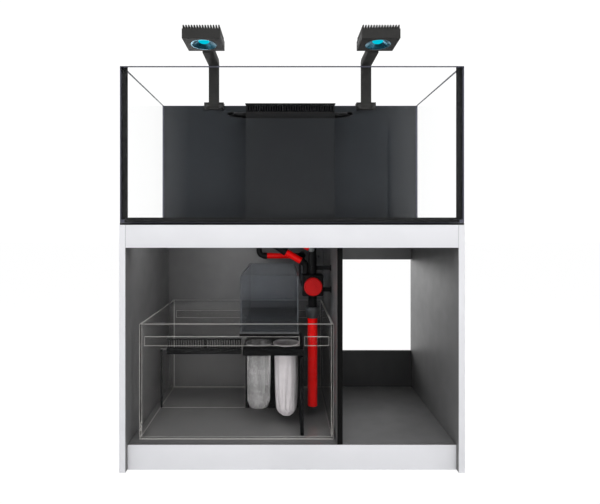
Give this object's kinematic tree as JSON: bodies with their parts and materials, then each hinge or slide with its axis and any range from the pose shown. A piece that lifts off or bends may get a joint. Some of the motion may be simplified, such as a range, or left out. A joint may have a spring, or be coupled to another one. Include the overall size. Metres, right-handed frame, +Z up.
{
  "type": "aquarium on stand",
  "caption": "Rimless glass aquarium with an overflow box and clamp-on lights, on an open-fronted white cabinet that holds its glass sump and red and black plumbing.",
  "frame": {"origin": "on the floor, under the middle of the cabinet's footprint", "axes": "+X to the right, +Y to the back, +Z up; the front faces -Y"},
  "size_m": [1.205, 0.6, 1.649],
  "materials": {
    "white_board": "white satin laminate",
    "grey_board": "dark grey laminate",
    "black_foam": "matt foam",
    "clear_glass": "polished clear",
    "black_glass": "polished, black backed",
    "black_silicone": "satin silicone",
    "black_acrylic": "polished",
    "black_plastic": "satin moulded",
    "red_plastic": "glossy",
    "grey_plastic": "satin moulded",
    "smoked_acrylic": "smoked, polished",
    "clear_plastic": "clear moulded",
    "white_felt": "needled felt",
    "black_aluminium": "black anodised",
    "blue_lens": "lit cyan lens",
    "steel": "polished ball"
  },
  "bodies": {
    "stand_and_tank": {"side_panel_left": "white_board", "side_panel_right": "white_board", "plinth_board": "white_board", "front_rail": "white_board", "floor_panel": "grey_board", "top_panel": "grey_board", "divider_panel": "grey_board", "back_panel_left": "grey_board", "back_panel_lower": "grey_board", "back_rail_upper": "grey_board", "tank_mat": "black_foam", "tank_base_pane": "clear_glass", "tank_front_pane": "clear_glass", "tank_left_pane": "clear_glass", "tank_right_pane": "clear_glass", "sump_tank": "clear_glass", "brace_front_long": "clear_glass", "brace_front_short": "clear_glass", "brace_rear": "clear_glass", "tank_rear_pane": "black_glass", "corner_seam_left": "black_silicone", "corner_seam_right": "black_silicone", "weir_box": "black_acrylic", "filter_baffle": "black_acrylic", "cup_holder": "black_acrylic", "drain_standpipe": "black_plastic", "return_riser": "black_plastic", "drain_pipe": "black_plastic", "emergency_drain_pipe": "black_plastic", "branch_elbow": "black_plastic", "return_elbow_left": "black_plastic", "return_elbow_right": "black_plastic", "valve_body": "black_plastic", "pipe_clip_upper": "black_plastic", "pipe_clip_lower": "black_plastic", "branch_pipe": "red_plastic", "return_pipe": "red_plastic", "downpipe": "red_plastic", "light_arm_left": "black_aluminium", "light_arm_right": "black_aluminium"},
    "weir_comb": {"weir_comb": "black_plastic"},
    "weir_lid": {"weir_lid": "black_plastic"},
    "nozzle_left": {"nozzle_left": "black_plastic"},
    "nozzle_right": {"nozzle_right": "black_plastic"},
    "valve_handle": {"valve_knob": "red_plastic", "valve_ball": "steel"},
    "union_nut": {"union_nut": "grey_plastic"},
    "sump_comb": {"sump_comb": "black_plastic"},
    "media_cup": {"media_cup": "clear_plastic"},
    "filter_sock": {"filter_sock": "white_felt"},
    "reservoir": {"reservoir": "smoked_acrylic", "reservoir_base": "black_acrylic"},
    "light_left": {"light_housing_left": "black_aluminium", "led_module_left": "blue_lens"},
    "light_right": {"light_housing_right": "black_aluminium", "led_module_right": "blue_lens"},
    "thumbscrew_left_a": {"thumbscrew_left_a": "black_plastic"},
    "thumbscrew_left_b": {"thumbscrew_left_b": "black_plastic"},
    "thumbscrew_right_a": {"thumbscrew_right_a": "black_plastic"},
    "thumbscrew_right_b": {"thumbscrew_right_b": "black_plastic"}
  },
  "joints": [
    {"name": "comb_lift", "type": "slide", "parent": "stand_and_tank", "child": "weir_comb", "axis": [0, 0, 1], "range_m": [0, 0.08]},
    {"name": "lid_lift", "type": "slide", "parent": "weir_comb", "child": "weir_lid", "axis": [0, 0, 1], "range_m": [0, 0.1]},
    {"name": "nozzle_left_swivel", "type": "hinge", "parent": "stand_and_tank", "child": "nozzle_left", "pos_m": [-0.1953, 0.165, 1.3556], "axis": [1, 0, 0], "range_deg": [-45, 45]},
    {"name": "nozzle_right_swivel", "type": "hinge", "parent": "stand_and_tank", "child": "nozzle_right", "pos_m": [0.1953, 0.165, 1.3556], "axis": [1, 0, 0], "range_deg": [-45, 45]},
    {"name": "valve_turn", "type": "hinge", "parent": "stand_and_tank", "child": "valve_handle", "pos_m": [0.086, -0.064, 0.6215], "axis": [0, -1, 0], "range_deg": [0, 90]},
    {"name": "union_turn", "type": "hinge", "parent": "stand_and_tank", "child": "union_nut", "pos_m": [0.086, -0.064, 0.51], "axis": [0, 0, 1], "range_deg": [0, 360]},
    {"name": "sump_comb_lift", "type": "slide", "parent": "stand_and_tank", "child": "sump_comb", "axis": [0, 0, 1], "range_m": [0, 0.06]},
    {"name": "media_cup_lift", "type": "slide", "parent": "stand_and_tank", "child": "media_cup", "axis": [0, 0, 1], "range_m": [0, 0.04]},
    {"name": "filter_sock_lift", "type": "slide", "parent": "stand_and_tank", "child": "filter_sock", "axis": [0, 0, 1], "range_m": [0, 0.04]},
    {"name": "reservoir_lift", "type": "slide", "parent": "stand_and_tank", "child": "reservoir", "axis": [0, 0, 1], "range_m": [0, 0.028]},
    {"name": "light_left_slide", "type": "slide", "parent": "stand_and_tank", "child": "light_left", "axis": [0, -1, 0], "range_m": [-0.03, 0.05]},
    {"name": "light_right_slide", "type": "slide", "parent": "stand_and_tank", "child": "light_right", "axis": [0, -1, 0], "range_m": [-0.03, 0.05]},
    {"name": "thumbscrew_left_a_turn", "type": "hinge", "parent": "stand_and_tank", "child": "thumbscrew_left_a", "pos_m": [-0.387, 0.238, 1.4086], "axis": [0, -1, 0], "range_deg": [0, 360]},
    {"name": "thumbscrew_left_b_turn", "type": "hinge", "parent": "stand_and_tank", "child": "thumbscrew_left_b", "pos_m": [-0.321, 0.238, 1.4086], "axis": [0, -1, 0], "range_deg": [0, 360]},
    {"name": "thumbscrew_right_a_turn", "type": "hinge", "parent": "stand_and_tank", "child": "thumbscrew_right_a", "pos_m": [0.321, 0.238, 1.4086], "axis": [0, -1, 0], "range_deg": [0, 360]},
    {"name": "thumbscrew_right_b_turn", "type": "hinge", "parent": "stand_and_tank", "child": "thumbscrew_right_b", "pos_m": [0.387, 0.238, 1.4086], "axis": [0, -1, 0], "range_deg": [0, 360]}
  ]
}
